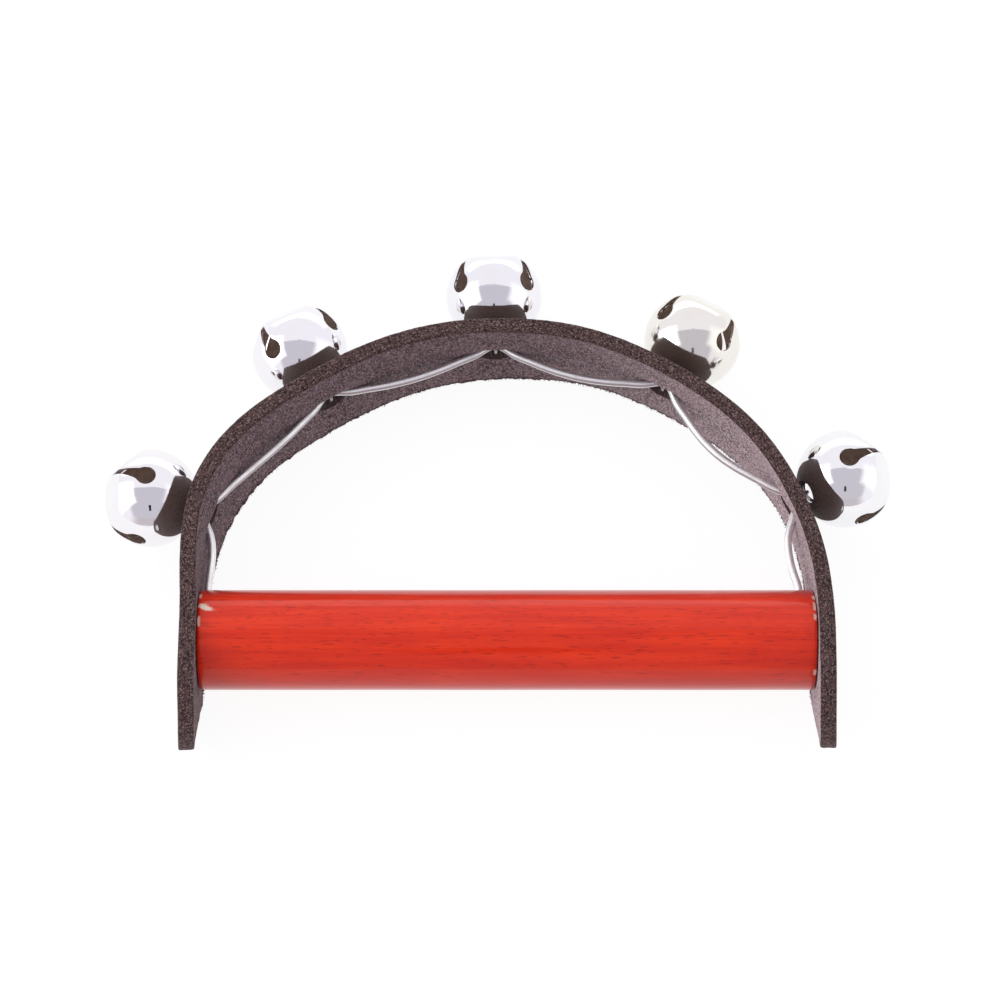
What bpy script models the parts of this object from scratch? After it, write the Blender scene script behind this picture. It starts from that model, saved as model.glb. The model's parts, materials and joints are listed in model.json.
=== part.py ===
"""Sleigh bells: five pellet bells threaded on one wire along a leather arch with a dowel handle.

The instrument lies on its side. X runs along the handle, Y from the handle to the top of
the arch, and Z across the strap. The origin is under the middle of the whole object's box,
on the surface that it lies on. All sizes are in metres.
"""
import math

import bmesh
import bpy
import numpy as np
from mathutils import Matrix, Vector

MM = 0.001
GAP = 0.3 * MM

# Leather strap: a band bent into an arch, with tongue-shaped ends.
STRAP_WIDTH = 26.0 * MM
STRAP_THICKNESS = 3.5 * MM
STRAP_HALF = STRAP_WIDTH / 2
STRAP_ROWS = 60
STRAP_COLUMNS = 8
# The band's mid-thickness line, leg tip to leg tip, in millimetres from the handle's axis.
# The arch is hand-bent: it is fuller on the left, and its legs lie flat against the handle.
LEFT_LEG_X = -69.5
RIGHT_LEG_X = 69.0
STRAP_LINE = (
    (-68.9, -24.7), (LEFT_LEG_X, -12.0), (LEFT_LEG_X, 0.0), (LEFT_LEG_X, 10.0),
    (-68.9, 21.0), (-66.0, 32.7), (-57.9, 45.3), (-45.4, 55.2), (-30.3, 63.8), (-13.5, 69.2),
    (3.0, 70.3), (18.5, 68.2), (33.5, 62.0), (46.9, 53.4), (57.8, 42.3), (65.0, 28.6),
    (68.3, 15.0), (RIGHT_LEG_X, 6.0), (RIGHT_LEG_X, -12.0), (68.6, -24.2),
)
EDGE_LEAN = 1.7 * MM
LEAN_FULL_HEIGHT = 40.0 * MM
LEG_SPLAY = 2.1 * MM
SPLAY_START = 6.0 * MM
SPLAY_LENGTH = 19.0 * MM
DIMPLE_HEIGHT = 1.3 * MM
DIMPLE_SPREAD = 4.2 * MM
BELL_HOLE_RADIUS = 3.5 * MM

# Handle: a lacquered dowel between the strap's legs.
HANDLE_RADIUS = 11.0 * MM
HANDLE_EDGE_ROUND = 0.7 * MM
PILOT_DEPTH = 23.0 * MM

# Wire: one length that threads all five bells and ends in the handle.
WIRE_RADIUS = 0.85 * MM
WIRE_POINTS = 78
WIRE_RISE = 0.9 * MM
WIRE_SAGS = (3.6 * MM, 4.2 * MM, 5.5 * MM, 6.8 * MM)
WIRE_SAG_POWER = 0.9
WIRE_SAG_STEPS = 10
WIRE_IN_HANDLE = 6.5 * MM
LEFT_WIRE_INSET = 1.45 * MM
RIGHT_WIRE_INSET = 2.6 * MM
# Where the wire stands between the handle and the first and last bell, as distances from
# the handle's wire hole along X and up from the handle's axis, in millimetres.
LEFT_WIRE_RUN = ((-0.3, 11.5), (0.1, 17.0), (0.2, 21.6), (-0.5, 25.2))
RIGHT_WIRE_RUN = ((-1.9, 24.8), (-2.0, 21.0), (-1.2, 16.2), (0.0, 11.5))

# Bells: pressed shells on a wire eye, each with a loose ball.
BELL_SPACING = 39.9 * MM
BELL_MIDDLE_STATION = 134.8 * MM
BELL_RADIUS = 11.0 * MM
BELL_SHEET = 0.6 * MM
BELL_REACH = 13.0 * MM
BELL_DROOP = math.radians(6.5)
BELL_SEGMENTS = 24
BELL_RINGS = 10
BASE_HOLE_RADIUS = 2.0 * MM
# Each petal is pressed flat, square to a line at its own angle from the bell's axis, and so
# is the crown; their depths are shares of the bell's radius. The slots run along the ridges.
PETAL_POLAR = math.radians(38.0)
PETAL_DEPTH = 0.875
CROWN_DEPTH = 0.92
CREASE_SHARPNESS = 32.0
# Turn of each bell's slots about its own axis.
SLOT_TURNS = tuple(math.radians(turn) for turn in (6.0, -37.0, -45.0, -45.0, -4.0))
SLOT_HOLE_RADIUS = 2.2 * MM
SLOT_HOLE_HEIGHT = -0.8 * MM
SLOT_FOOT_HALF = 1.1 * MM
SLOT_TIP_HALF = 0.3 * MM
EYE_WIRE_RADIUS = 0.4 * MM
EYE_INNER_RADIUS = 1.15 * MM
PELLET_RADIUS = 3.5 * MM
PELLET_DROP = 6.2 * MM

# Screws and cup washers that hold the strap's legs to the handle's ends.
SCREW_LENGTH = 22.0 * MM
SCREW_SHANK_RADIUS = 1.5 * MM
SCREW_HEAD_RADIUS = 3.1 * MM
SCREW_HEAD_DEPTH = 1.9 * MM
SCREW_HEAD_EDGE = 0.3 * MM
SCREW_PROUD = 0.6 * MM
RECESS_WIDTH = 0.8 * MM
RECESS_SPAN = 3.4 * MM
RECESS_DEPTH = 1.0 * MM
WASHER_RADIUS = 5.0 * MM
WASHER_SHEET = 0.35 * MM
CUP_WALL = 0.4 * MM
TURNED_STEPS = 24
MERGE = 0.00001


# --- Scene helpers -------------------------------------------------------------------

def clear_scene():
    for item in list(bpy.data.objects):
        bpy.data.objects.remove(item, do_unlink=True)


def new_collection(name):
    collection = bpy.data.collections.new(name)
    bpy.context.scene.collection.children.link(collection)
    return collection


def make_material(name, colour, metallic, roughness):
    material = bpy.data.materials.new(name)
    material.use_nodes = True
    shader = material.node_tree.nodes["Principled BSDF"]
    shader.inputs["Base Color"].default_value = (*colour, 1.0)
    shader.inputs["Metallic"].default_value = metallic
    shader.inputs["Roughness"].default_value = roughness
    material.diffuse_color = (*colour, 1.0)
    return material


def add_empty(name, parent, matrix):
    empty = bpy.data.objects.new(name, None)
    empty.empty_display_size = 5 * MM
    parts.objects.link(empty)
    empty.parent = parent
    empty.matrix_local = matrix
    return empty


def add_object(name, data, material, parent, matrix=None):
    item = bpy.data.objects.new(name, data)
    parts.objects.link(item)
    item.parent = parent
    if matrix is not None:
        item.matrix_local = matrix
    if material is not None and not data.materials:
        data.materials.append(material)
    return item


def add_cutter(name, data, parent=None, matrix=None):
    cutter = bpy.data.objects.new(name, data)
    cutters.objects.link(cutter)
    cutter.parent = parent
    if matrix is not None:
        cutter.matrix_local = matrix
    cutter.hide_render = True
    cutter.display_type = "WIRE"
    return cutter


def cut(item, cutter):
    modifier = item.modifiers.new("cut " + cutter.name, "BOOLEAN")
    modifier.operation = "DIFFERENCE"
    modifier.solver = "EXACT"
    modifier.object = cutter


def evaluated_mesh(item):
    """The item's mesh with its modifiers applied and any loose caps welded."""
    depsgraph = bpy.context.evaluated_depsgraph_get()
    mesh = bpy.data.meshes.new_from_object(item.evaluated_get(depsgraph))
    shape = bmesh.new()
    shape.from_mesh(mesh)
    bmesh.ops.remove_doubles(shape, verts=shape.verts, dist=MERGE)
    shape.to_mesh(mesh)
    shape.free()
    return mesh


def shade_round(mesh, sharp_angle=35.0):
    mesh.shade_smooth()
    mesh.set_sharp_from_angle(angle=math.radians(sharp_angle))


def mesh_from(shape, name):
    mesh = bpy.data.meshes.new(name)
    shape.to_mesh(mesh)
    shape.free()
    return mesh


def cylinder_mesh(name, radius, length, segments):
    shape = bmesh.new()
    bmesh.ops.create_cone(
        shape, cap_ends=True, segments=segments, radius1=radius, radius2=radius, depth=length)
    return mesh_from(shape, name)


def box_mesh(name, size):
    shape = bmesh.new()
    bmesh.ops.create_cube(shape, size=1.0)
    bmesh.ops.scale(shape, vec=Vector(size), verts=shape.verts)
    return mesh_from(shape, name)


def turned_mesh(name, profile):
    """A closed solid turned about Z from (radius, height) points, down the outer side."""
    shape = bmesh.new()
    corners = [shape.verts.new((radius, 0.0, height)) for radius, height in profile]
    for first, second in zip(corners, corners[1:]):
        shape.edges.new((first, second))
    blank = bpy.data.objects.new(name, mesh_from(shape, name + " profile"))
    cutters.objects.link(blank)
    screw = blank.modifiers.new("turn", "SCREW")
    screw.steps = TURNED_STEPS
    screw.render_steps = TURNED_STEPS
    screw.use_merge_vertices = True
    screw.merge_threshold = MERGE
    mesh = evaluated_mesh(blank)
    bpy.data.objects.remove(blank, do_unlink=True)
    shade_round(mesh)
    return mesh


def tube_curve(name, points, radius, resolution=2):
    """A round wire through the points."""
    curve = bpy.data.curves.new(name, "CURVE")
    curve.dimensions = "3D"
    spline = curve.splines.new("POLY")
    spline.points.add(len(points) - 1)
    for knot, place in zip(spline.points, points):
        knot.co = (*place, 1.0)
    curve.bevel_depth = radius
    curve.bevel_resolution = resolution
    curve.use_fill_caps = True
    return curve


def mesh_of_curve(name, curve):
    holder = bpy.data.objects.new(name, curve)
    cutters.objects.link(holder)
    mesh = evaluated_mesh(holder)
    bpy.data.objects.remove(holder, do_unlink=True)
    return mesh


# --- The strap's line ----------------------------------------------------------------

class SmoothPath:
    """A natural cubic spline through points placed by hand, read by distance along it."""

    SAMPLES_PER_SPAN = 60

    def __init__(self, points):
        points = np.array(points, float)
        spans = np.linalg.norm(np.diff(points, axis=0), axis=1)
        count = len(points)
        system = np.eye(count)
        target = np.zeros_like(points)
        for i in range(1, count - 1):
            system[i, i - 1:i + 2] = (spans[i - 1], 2 * (spans[i - 1] + spans[i]), spans[i])
            after = (points[i + 1] - points[i]) / spans[i]
            before = (points[i] - points[i - 1]) / spans[i - 1]
            target[i] = 6 * (after - before)
        bend = np.linalg.solve(system, target)
        pieces = []
        for i, span in enumerate(spans):
            u = np.linspace(0.0, 1.0, self.SAMPLES_PER_SPAN, endpoint=False)[:, None]
            v = 1 - u
            straight = v * points[i] + u * points[i + 1]
            curved = (v ** 3 - v) * bend[i] + (u ** 3 - u) * bend[i + 1]
            pieces.append(straight + curved * span ** 2 / 6)
        self.table = np.vstack(pieces + [points[-1:]])
        steps = np.linalg.norm(np.diff(self.table, axis=0), axis=1)
        self.distance = np.concatenate(([0.0], np.cumsum(steps)))
        self.length = self.distance[-1]

    def point(self, distance):
        return np.array([np.interp(distance, self.distance, axis) for axis in self.table.T])

    def tangent(self, distance):
        reach = 0.5 * MM
        low = min(max(distance, reach), self.length - reach)
        step = self.point(low + reach) - self.point(low - reach)
        return step / np.linalg.norm(step)


strap_line = SmoothPath(np.array(STRAP_LINE) * MM)
bell_stations = [BELL_MIDDLE_STATION + step * BELL_SPACING for step in (-2, -1, 0, 1, 2)]


def outward(distance):
    along = strap_line.tangent(distance)
    return np.array((-along[1], along[0]))


def ease(value):
    value = min(max(value, 0.0), 1.0)
    return value * value * (3 - 2 * value)


def dimple(distance, across):
    """How far the leather is drawn out around the bell holes."""
    rise = 0.0
    for station in bell_stations:
        away = (distance - station) ** 2 + across ** 2
        rise += DIMPLE_HEIGHT * math.exp(-away / (2 * DIMPLE_SPREAD ** 2))
    return rise


def on_strap(distance, across, height):
    """A place on the bent strap: along it, across it, and above its mid-thickness."""
    flat = strap_line.point(distance) + outward(distance) * (height + dimple(distance, across))
    lean = EDGE_LEAN * across * abs(across) / STRAP_HALF ** 2
    flat[0] += lean * ease(flat[1] / LEAN_FULL_HEIGHT)
    splay = LEG_SPLAY * (across / STRAP_HALF + 1) / 2
    splay *= ease((-SPLAY_START - flat[1]) / SPLAY_LENGTH)
    flat[0] += math.copysign(splay, flat[0])
    return Vector((flat[0], flat[1], -across))


# --- Pieces --------------------------------------------------------------------------

def strap_mesh():
    """A flat band with half-round ends, bent along the strap's line."""
    shape = bmesh.new()
    bmesh.ops.create_grid(shape, x_segments=STRAP_ROWS, y_segments=STRAP_COLUMNS, size=1.0)
    bmesh.ops.solidify(shape, geom=shape.faces[:], thickness=STRAP_THICKNESS)
    middle = sum(corner.co.z for corner in shape.verts) / len(shape.verts)
    for corner in shape.verts:
        slant = corner.co.y * math.pi / 2
        across = STRAP_HALF * math.sin(slant)
        reach = strap_line.length / 2 - STRAP_HALF * (1 - math.cos(slant))
        distance = strap_line.length / 2 + corner.co.x * reach
        corner.co = on_strap(distance, across, corner.co.z - middle)
    bmesh.ops.recalc_face_normals(shape, faces=shape.faces[:])
    mesh = mesh_from(shape, "strap")
    shade_round(mesh, 50.0)
    return mesh


def wire_points():
    """Up from the handle, through the five eyes, and down into the handle again."""
    left_x = handle_left + LEFT_WIRE_INSET
    right_x = handle_right - RIGHT_WIRE_INSET
    floor = HANDLE_RADIUS - WIRE_IN_HANDLE
    knots = [(left_x, floor), (left_x, (floor + HANDLE_RADIUS) / 2)]
    knots += [(left_x + x * MM, y * MM) for x, y in LEFT_WIRE_RUN]
    for station, sag in zip(bell_stations, WIRE_SAGS):
        for step in range(WIRE_SAG_STEPS):
            share = step / WIRE_SAG_STEPS
            swell = math.sin(math.pi * share) ** WIRE_SAG_POWER
            depth = (sag + WIRE_RISE) * swell - WIRE_RISE
            distance = station + share * BELL_SPACING
            knots.append(strap_line.point(distance) - outward(distance) * depth)
    last = bell_stations[-1]
    knots.append(strap_line.point(last) + outward(last) * WIRE_RISE)
    knots += [(right_x + x * MM, y * MM) for x, y in RIGHT_WIRE_RUN]
    knots += [(right_x, (floor + HANDLE_RADIUS) / 2), (right_x, floor)]
    route = SmoothPath(knots)
    places = [route.point(route.length * i / (WIRE_POINTS - 1)) for i in range(WIRE_POINTS)]
    return [Vector((x, y, 0.0)) for x, y in places]


def wire_channel_points(points):
    """The wire's points with both ends run on by the gap, to cut room for the wire."""
    first = points[0] + (points[0] - points[1]).normalized() * GAP
    last = points[-1] + (points[-1] - points[-2]).normalized() * GAP
    return [first] + points[1:-1] + [last]


def press_petals(corner):
    """Turn a place on a sphere into the pressed bell's shape: four flat petals, a flat crown."""
    radius = corner.length
    polar = math.acos(max(-1.0, min(1.0, corner.z / radius)))
    turn = math.atan2(corner.y, corner.x)
    last_ring = math.pi - math.pi / BELL_RINGS
    if abs(polar - last_ring) < 0.01:
        polar = math.pi - math.asin(BASE_HOLE_RADIUS / BELL_RADIUS)
    reached = [math.cos(polar) / CROWN_DEPTH]
    for quarter in range(4):
        middle = math.pi / 4 + quarter * math.pi / 2
        facing = math.cos(polar) * math.cos(PETAL_POLAR)
        facing += math.sin(polar) * math.sin(PETAL_POLAR) * math.cos(turn - middle)
        reached.append(facing / PETAL_DEPTH)
    total = 1.0 + sum(max(0.0, value) ** CREASE_SHARPNESS for value in reached)
    pressed = radius * total ** (-1 / CREASE_SHARPNESS)
    return Vector((
        pressed * math.sin(polar) * math.cos(turn),
        pressed * math.sin(polar) * math.sin(turn),
        pressed * math.cos(polar)))


def slot_outline():
    """A keyhole: a round hole at the bell's waist and a slit that narrows to the crown."""
    start = math.asin(SLOT_FOOT_HALF / SLOT_HOLE_RADIUS)
    steps = 14
    outline = []
    for i in range(steps + 1):
        angle = math.pi / 2 + start + i * (2 * math.pi - 2 * start) / steps
        outline.append((
            SLOT_HOLE_RADIUS * math.cos(angle),
            SLOT_HOLE_HEIGHT + SLOT_HOLE_RADIUS * math.sin(angle)))
    outline.append((SLOT_TIP_HALF, BELL_RADIUS * 1.1))
    outline.append((-SLOT_TIP_HALF, BELL_RADIUS * 1.1))
    return outline


def slot_cutter(name, turn):
    """The keyhole run right through the bell, which cuts two slots opposite each other."""
    curve = bpy.data.curves.new(name, "CURVE")
    curve.dimensions = "2D"
    curve.fill_mode = "BOTH"
    curve.extrude = BELL_RADIUS * 1.2
    spline = curve.splines.new("POLY")
    outline = slot_outline()
    spline.points.add(len(outline) - 1)
    for knot, (x, y) in zip(spline.points, outline):
        knot.co = (x, y, 0.0, 1.0)
    spline.use_cyclic_u = True
    mesh = mesh_of_curve(name, curve)
    upright = Matrix.Rotation(turn, 4, "Z") @ Matrix.Rotation(math.pi / 2, 4, "X")
    return add_cutter(name, mesh, matrix=upright)


def shell_mesh():
    """A sphere open at its base, pressed to shape, given its sheet thickness and slotted."""
    shape = bmesh.new()
    bmesh.ops.create_uvsphere(
        shape, u_segments=BELL_SEGMENTS, v_segments=BELL_RINGS, radius=BELL_RADIUS)
    base = min(shape.verts, key=lambda corner: corner.co.z)
    bmesh.ops.delete(shape, geom=[base], context="VERTS")
    for corner in shape.verts:
        corner.co = press_petals(corner.co)
    blank = bpy.data.objects.new("shell blank", mesh_from(shape, "shell blank"))
    cutters.objects.link(blank)
    sheet = blank.modifiers.new("sheet", "SOLIDIFY")
    sheet.thickness = BELL_SHEET
    sheet.offset = -1.0
    slots = [slot_cutter("slot_cutter_a", 0.0), slot_cutter("slot_cutter_b", math.pi / 2)]
    for slot in slots:
        cut(blank, slot)
    mesh = evaluated_mesh(blank)
    for used in slots + [blank]:
        bpy.data.objects.remove(used, do_unlink=True)
    mesh.name = "bell shell"
    shade_round(mesh)
    return mesh


def eye_points():
    """A staple hooked round the wire, with its legs spread inside the shell."""
    ring = EYE_INNER_RADIUS + EYE_WIRE_RADIUS
    neck = BASE_HOLE_RADIUS - GAP - EYE_WIRE_RADIUS
    leg = [
        (ring, 0.0), (neck, 1.5 * MM), (neck, 2.7 * MM), (neck + 0.3 * MM, 3.5 * MM),
        (neck + 0.9 * MM, 3.8 * MM), (neck + 1.8 * MM, 4.0 * MM)]
    bow = []
    for i in range(1, 8):
        angle = math.pi + i * math.pi / 8
        bow.append((ring * math.cos(angle), ring * math.sin(angle)))
    left = [(-y, z) for y, z in reversed(leg)]
    return [Vector((0.0, y, z)) for y, z in left + bow + leg]


def pellet_mesh():
    shape = bmesh.new()
    bmesh.ops.create_uvsphere(shape, u_segments=12, v_segments=8, radius=PELLET_RADIUS)
    mesh = mesh_from(shape, "pellet")
    shade_round(mesh)
    return mesh


def screw_mesh():
    """A countersunk wood screw with a cross recess, pointing down from Z = 0."""
    neck = -SCREW_HEAD_DEPTH
    tip = -SCREW_LENGTH
    profile = [
        (0.0, 0.0), (SCREW_HEAD_RADIUS, 0.0), (SCREW_HEAD_RADIUS, -SCREW_HEAD_EDGE),
        (SCREW_SHANK_RADIUS, neck), (SCREW_SHANK_RADIUS, tip + 3.0 * MM), (0.0, tip)]
    blank = bpy.data.objects.new("screw blank", turned_mesh("screw", profile))
    cutters.objects.link(blank)
    arm = box_mesh("recess", (RECESS_SPAN, RECESS_WIDTH, 2 * RECESS_DEPTH))
    arms = [
        add_cutter("recess_a", arm),
        add_cutter("recess_b", arm, matrix=Matrix.Rotation(math.pi / 2, 4, "Z"))]
    for recess in arms:
        cut(blank, recess)
    mesh = evaluated_mesh(blank)
    for used in arms + [blank]:
        bpy.data.objects.remove(used, do_unlink=True)
    shade_round(mesh)
    return mesh


def washer_mesh():
    """A pressed cup that the screw's head sits in; its flange lies on the leather."""
    inner_rim = SCREW_HEAD_RADIUS + GAP
    inner_foot = SCREW_SHANK_RADIUS + GAP
    shoulder = -SCREW_HEAD_EDGE
    under = GAP - SCREW_PROUD
    top = under + WASHER_SHEET
    profile = [
        (inner_rim, top), (WASHER_RADIUS, top), (WASHER_RADIUS, under),
        (inner_rim + CUP_WALL, under), (inner_foot + CUP_WALL, -SCREW_HEAD_DEPTH),
        (inner_foot, -SCREW_HEAD_DEPTH), (inner_rim, shoulder), (inner_rim, top)]
    return turned_mesh("cup_washer", profile)


def leg_sink_mesh():
    """The tapered seat in the leather under the washer and the screw's hole below it."""
    room = CUP_WALL + 1.5 * GAP
    rim = SCREW_HEAD_RADIUS + GAP + room
    foot = SCREW_SHANK_RADIUS + GAP + room
    bottom = -SCREW_HEAD_DEPTH - GAP
    bore = SCREW_SHANK_RADIUS + GAP
    profile = [
        (0.0, 1.0 * MM), (rim, 1.0 * MM), (rim, GAP - SCREW_PROUD), (foot, bottom),
        (bore, bottom), (bore, -9.0 * MM), (0.0, -9.0 * MM)]
    return turned_mesh("leg_sink", profile)


def fastener_frame(side, height):
    """A frame whose Z points out of the strap's leg, its origin at a height above it."""
    leg = (LEFT_LEG_X if side < 0 else RIGHT_LEG_X) * MM
    reach = STRAP_THICKNESS / 2 + height
    turn = Matrix.Rotation(side * math.pi / 2, 4, "Y")
    return Matrix.Translation((leg + side * reach, 0.0, 0.0)) @ turn


# --- Assembly ------------------------------------------------------------------------

def build_handle():
    length = handle_right - handle_left
    mesh = cylinder_mesh("handle", HANDLE_RADIUS, length, 48)
    shade_round(mesh)
    along_x = Matrix.Rotation(math.pi / 2, 4, "Y")
    middle = Matrix.Translation(((handle_left + handle_right) / 2, 0.0, 0.0))
    handle = add_object("handle", mesh, materials["red_lacquer"], root, middle @ along_x)
    bevel = handle.modifiers.new("rounded ends", "BEVEL")
    bevel.width = HANDLE_EDGE_ROUND
    bevel.segments = 2
    bevel.limit_method = "ANGLE"
    bevel.angle_limit = math.radians(40.0)
    return handle


def build_strap():
    return add_object("strap", strap_mesh(), materials["leather"], root)


def build_wire(points):
    return add_object(
        "wire", tube_curve("wire", points, WIRE_RADIUS), materials["satin_wire"], root)


def build_fasteners(strap, handle):
    """A screw and a washer for each leg, and the holes that they sit in."""
    screw = screw_mesh()
    washer = washer_mesh()
    sink = leg_sink_mesh()
    pilot = cylinder_mesh("pilot", SCREW_SHANK_RADIUS + GAP, 2 * PILOT_DEPTH, 20)
    for side, name, end in ((-1, "left", handle_left), (1, "right", handle_right)):
        frame = fastener_frame(side, SCREW_PROUD)
        add_object("screw_" + name, screw, materials["plated_steel"], root, frame)
        add_object("cup_washer_" + name, washer, materials["plated_steel"], root, frame)
        seat = add_cutter("leg_sink_" + name, sink, root, frame)
        cut(strap, seat)
        drill_place = Matrix.Translation((end, 0.0, 0.0)) @ Matrix.Rotation(math.pi / 2, 4, "Y")
        cut(handle, add_cutter("pilot_" + name, pilot, root, drill_place))


def bell_frame(station):
    """The bell's own frame: X along the wire, Z along the bell's axis, origin in the eye."""
    along = strap_line.tangent(station)
    out = outward(station)
    place = strap_line.point(station) + out * WIRE_RISE
    along = Vector((along[0], along[1], 0.0))
    out = Vector((out[0], out[1], 0.0))
    axis = out * math.cos(BELL_DROOP) - Vector((0.0, 0.0, 1.0)) * math.sin(BELL_DROOP)
    frame = Matrix((along, axis.cross(along), axis)).transposed().to_4x4()
    frame.translation = Vector((place[0], place[1], 0.0))
    return frame


def build_bells(strap):
    shell = shell_mesh()
    pellet = pellet_mesh()
    eye = tube_curve("bell_eye", eye_points(), EYE_WIRE_RADIUS, resolution=1)
    hole = cylinder_mesh("bell_hole", BELL_HOLE_RADIUS, 6 * STRAP_THICKNESS, 24)
    for number, (station, turn) in enumerate(zip(bell_stations, SLOT_TURNS), start=1):
        frame = bell_frame(station)
        pivot = add_empty("bell_pivot_%d" % number, root, frame)
        centre = Matrix.Translation((0.0, 0.0, BELL_REACH))
        spin = Matrix.Rotation(turn, 4, "Z")
        add_object("bell_shell_%d" % number, shell, materials["nickel"], pivot, centre @ spin)
        add_object("bell_eye_%d" % number, eye, materials["plated_steel"], pivot)
        down = frame.to_3x3().inverted() @ Vector((0.0, 0.0, -PELLET_DROP))
        rest = Matrix.Translation(Vector((0.0, 0.0, BELL_REACH)) + down)
        add_object("pellet_%d" % number, pellet, materials["pellet_steel"], pivot, rest)
        along_droop = frame @ Matrix.Rotation(-BELL_DROOP, 4, "X")
        cut(strap, add_cutter("bell_hole_%d" % number, hole, root, along_droop))


def settle_origin():
    """Move the root so that the origin is under the middle of the assembly's box."""
    bpy.context.view_layer.update()
    depsgraph = bpy.context.evaluated_depsgraph_get()
    corners = []
    for item in parts.objects:
        if item.type == "EMPTY":
            continue
        solid = item.evaluated_get(depsgraph)
        mesh = solid.to_mesh()
        places = np.empty(3 * len(mesh.vertices))
        mesh.vertices.foreach_get("co", places)
        turn = np.array(item.matrix_world)
        places = places.reshape(-1, 3) @ turn[:3, :3].T + turn[:3, 3]
        corners += [places.min(axis=0), places.max(axis=0)]
        solid.to_mesh_clear()
    low = np.min(corners, axis=0)
    high = np.max(corners, axis=0)
    middle = (low + high) / 2
    root.location = (-middle[0], -middle[1], -low[2])
    bpy.context.view_layer.update()


clear_scene()
parts = new_collection("sleigh_bells")
cutters = new_collection("cutters")
materials = {
    "leather": make_material("leather", (0.085, 0.060, 0.062), 0.0, 0.9),
    "red_lacquer": make_material("red_lacquer", (0.68, 0.055, 0.025), 0.0, 0.25),
    "satin_wire": make_material("satin_wire", (0.72, 0.72, 0.75), 1.0, 0.3),
    "nickel": make_material("nickel", (0.86, 0.84, 0.87), 1.0, 0.06),
    "plated_steel": make_material("plated_steel", (0.62, 0.61, 0.60), 1.0, 0.3),
    "pellet_steel": make_material("pellet_steel", (0.5, 0.48, 0.46), 1.0, 0.4),
}
root = add_empty("sleigh_bells_root", None, Matrix.Identity(4))
handle_left = LEFT_LEG_X * MM + STRAP_THICKNESS / 2 + GAP
handle_right = RIGHT_LEG_X * MM - STRAP_THICKNESS / 2 - GAP

strap = build_strap()
handle = build_handle()
route = wire_points()
build_wire(route)
channel = mesh_of_curve(
    "wire_channel", tube_curve("wire_channel", wire_channel_points(route), WIRE_RADIUS + GAP))
channel_cutter = add_cutter("wire_channel", channel, root)
build_bells(strap)
build_fasteners(strap, handle)
cut(strap, channel_cutter)
cut(handle, channel_cutter)
settle_origin()
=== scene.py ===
"""Sleigh bells: the looks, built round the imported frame.

Every size is in metres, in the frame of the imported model: X along the handle, Y from the
handle to the top of the arch, Z across the strap, up from the table that it lies on.
"""
import json
import math
import random

import bmesh
import bpy
import numpy as np
from mathutils import Matrix, Vector, noise
from mathutils.kdtree import KDTree


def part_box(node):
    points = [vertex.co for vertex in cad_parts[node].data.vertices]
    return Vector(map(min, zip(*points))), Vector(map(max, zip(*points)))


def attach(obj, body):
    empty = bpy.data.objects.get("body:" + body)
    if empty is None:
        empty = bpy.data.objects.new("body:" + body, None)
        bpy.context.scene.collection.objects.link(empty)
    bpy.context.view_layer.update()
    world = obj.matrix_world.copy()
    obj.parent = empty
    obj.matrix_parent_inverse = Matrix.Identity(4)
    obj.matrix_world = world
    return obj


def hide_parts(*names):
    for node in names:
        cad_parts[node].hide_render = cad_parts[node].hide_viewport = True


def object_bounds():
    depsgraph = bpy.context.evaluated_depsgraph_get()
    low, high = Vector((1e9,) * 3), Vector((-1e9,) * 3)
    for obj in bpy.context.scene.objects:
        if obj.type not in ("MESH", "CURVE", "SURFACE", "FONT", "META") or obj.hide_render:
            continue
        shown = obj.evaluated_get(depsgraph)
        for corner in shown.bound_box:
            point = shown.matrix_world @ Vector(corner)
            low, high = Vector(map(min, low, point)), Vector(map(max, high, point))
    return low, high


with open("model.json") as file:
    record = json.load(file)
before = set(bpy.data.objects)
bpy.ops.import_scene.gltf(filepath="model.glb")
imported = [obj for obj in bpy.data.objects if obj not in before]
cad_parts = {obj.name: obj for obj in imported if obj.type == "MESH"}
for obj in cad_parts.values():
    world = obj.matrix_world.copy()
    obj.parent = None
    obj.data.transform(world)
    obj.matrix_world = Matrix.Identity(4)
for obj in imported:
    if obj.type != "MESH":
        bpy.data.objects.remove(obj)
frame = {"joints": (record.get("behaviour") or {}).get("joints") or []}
cad_low, cad_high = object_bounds()

MM = 0.001
GAP = 0.3 * MM
MERGE = 0.01 * MM
# How far a cutter reaches past the surface that it opens.
CLEAR = 9.0 * MM
# Painted light and shade: the wire is painted bright and the lacquer light on the side that
# faces this way, and both are painted darker on the side away from it.
LIT_SIDE = Vector((0.0, 0.866, 0.5))
JOINTS = {joint["name"]: joint for joint in frame["joints"]}

# Handle.
handle_low, handle_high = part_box("handle")
HANDLE_RADIUS = (handle_high.z - handle_low.z) / 2
HANDLE_EDGE_ROUND = 0.7 * MM
END_REACH = 0.8 * GAP

# Strap: the same bend line as the frame's strap, in millimetres from the handle's axis.
STRAP_HALF = 13.0 * MM
STRAP_THICKNESS = 3.5 * MM
LEFT_LEG_X = -69.5
RIGHT_LEG_X = 69.0
STRAP_LINE = (
    (-68.9, -24.7), (LEFT_LEG_X, -12.0), (LEFT_LEG_X, 0.0), (LEFT_LEG_X, 10.0),
    (-68.9, 21.0), (-66.0, 32.7), (-57.9, 45.3), (-45.4, 55.2), (-30.3, 63.8), (-13.5, 69.2),
    (3.0, 70.3), (18.5, 68.2), (33.5, 62.0), (46.9, 53.4), (57.8, 42.3), (65.0, 28.6),
    (68.3, 15.0), (RIGHT_LEG_X, 6.0), (RIGHT_LEG_X, -12.0), (68.6, -24.2),
)
EDGE_LEAN = 1.7 * MM
LEAN_FULL_HEIGHT = 40.0 * MM
LEG_SPLAY = 2.1 * MM
SPLAY_START = 6.0 * MM
SPLAY_LENGTH = 19.0 * MM
DIMPLE_HEIGHT = 1.3 * MM
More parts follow.
